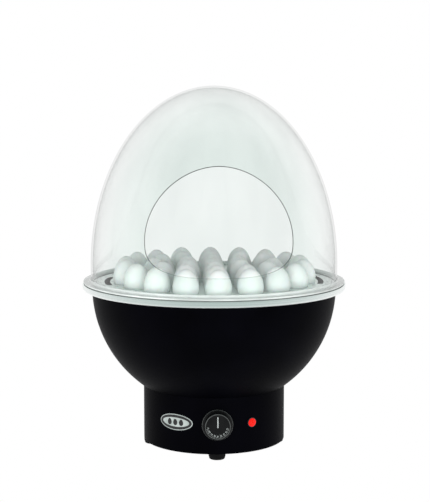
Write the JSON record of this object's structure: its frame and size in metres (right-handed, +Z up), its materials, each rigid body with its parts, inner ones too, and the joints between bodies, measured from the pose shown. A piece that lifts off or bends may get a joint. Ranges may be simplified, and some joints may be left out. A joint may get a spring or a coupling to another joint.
{
  "type": "egg cooker",
  "caption": "Countertop egg cooker: black round bowl on a base with thermostat knob and lamp, perforated tray of eggs, and a clear egg-shaped dome with a serving opening.",
  "frame": {"origin": "on the table, under the middle of the round base", "axes": "+Z up along the axis of the bowl and dome; -Y is the front with the knob; +X is to the right seen from the front"},
  "size_m": [0.4599, 0.46, 0.63],
  "materials": {
    "clear_acrylic": "clear polished, thermoformed",
    "dark_silicone": "matt",
    "satin_stainless": "satin, spun round the ring",
    "tray_stainless": "perforated sheet, satin",
    "eggshell": "matt white shell",
    "black_enamel": "glossy black enamel",
    "pan_stainless": "satin deep-drawn sheet",
    "clear_silicone": "matt",
    "element_sheath": "heat-darkened sheath",
    "red_silicone": "matt",
    "brass": "machined",
    "copper": "drawn tube",
    "ceramic": "moulded, matt",
    "zinc_screw": "zinc plated",
    "galvanised_plate": "galvanised sheet",
    "foot_rubber": "matt black rubber",
    "knob_plastic": "black phenolic, satin face",
    "white_print": "paint-filled line",
    "red_lens": "translucent red",
    "lamp_housing": "moulded black",
    "black_nylon": "moulded nylon",
    "badge_silver": "satin metal",
    "badge_black": "gloss enamel",
    "terminal_plastic": "moulded white",
    "brown_wire": "insulated wire",
    "blue_wire": "insulated wire",
    "green_wire": "insulated wire"
  },
  "bodies": {
    "base": {"dome_seal": "dark_silicone", "rim_ring": "satin_stainless", "bowl": "black_enamel", "water_pan": "pan_stainless", "pan_gasket": "clear_silicone", "heating_element": "element_sheath", "element_seals": "red_silicone", "element_nuts": "brass", "thermostat_bulb": "copper", "bulb_clips": "pan_stainless", "bulb_gland": "brass", "thermal_cutout": "ceramic", "cutout_screws": "zinc_screw", "bowl_bolts": "zinc_screw", "bowl_nuts": "zinc_screw", "base_shell": "black_enamel", "bottom_plate": "galvanised_plate", "bottom_plate_screws": "zinc_screw", "feet": "foot_rubber", "foot_screws": "zinc_screw", "foot_nuts": "zinc_screw", "thermostat_body": "ceramic", "thermostat_nut": "zinc_screw", "lamp_lens": "red_lens", "lamp_body": "lamp_housing", "lamp_nut": "black_nylon", "badge_plate": "badge_silver", "badge_band": "badge_black", "badge_emblem": "badge_black", "terminal_block": "terminal_plastic", "terminal_screws": "brass", "earth_stud": "brass", "earth_nut": "brass", "cable_gland": "black_nylon", "gland_cap": "black_nylon", "gland_seal": "dark_silicone", "gland_locknut": "black_nylon", "live_wire": "brown_wire", "switched_wire": "brown_wire", "neutral_wire": "blue_wire", "earth_wire": "green_wire", "lamp_leads": "blue_wire"},
    "dome": {"dome": "clear_acrylic"},
    "tray": {"egg_tray": "tray_stainless", "eggs": "eggshell"},
    "knob": {"knob": "knob_plastic", "knob_pointer": "white_print", "thermostat_shaft": "zinc_screw"}
  },
  "joints": [
    {"name": "dome_lift", "type": "slide", "parent": "base", "child": "dome", "axis": [0, 0, 1], "range_m": [0, 0.4]},
    {"name": "tray_lift", "type": "slide", "parent": "base", "child": "tray", "axis": [0, 0, 1], "range_m": [0, 0.08]},
    {"name": "knob_turn", "type": "hinge", "parent": "base", "child": "knob", "pos_m": [0, -0.132, 0.0625], "axis": [0, 1, 0], "range_deg": [0, 270]}
  ]
}
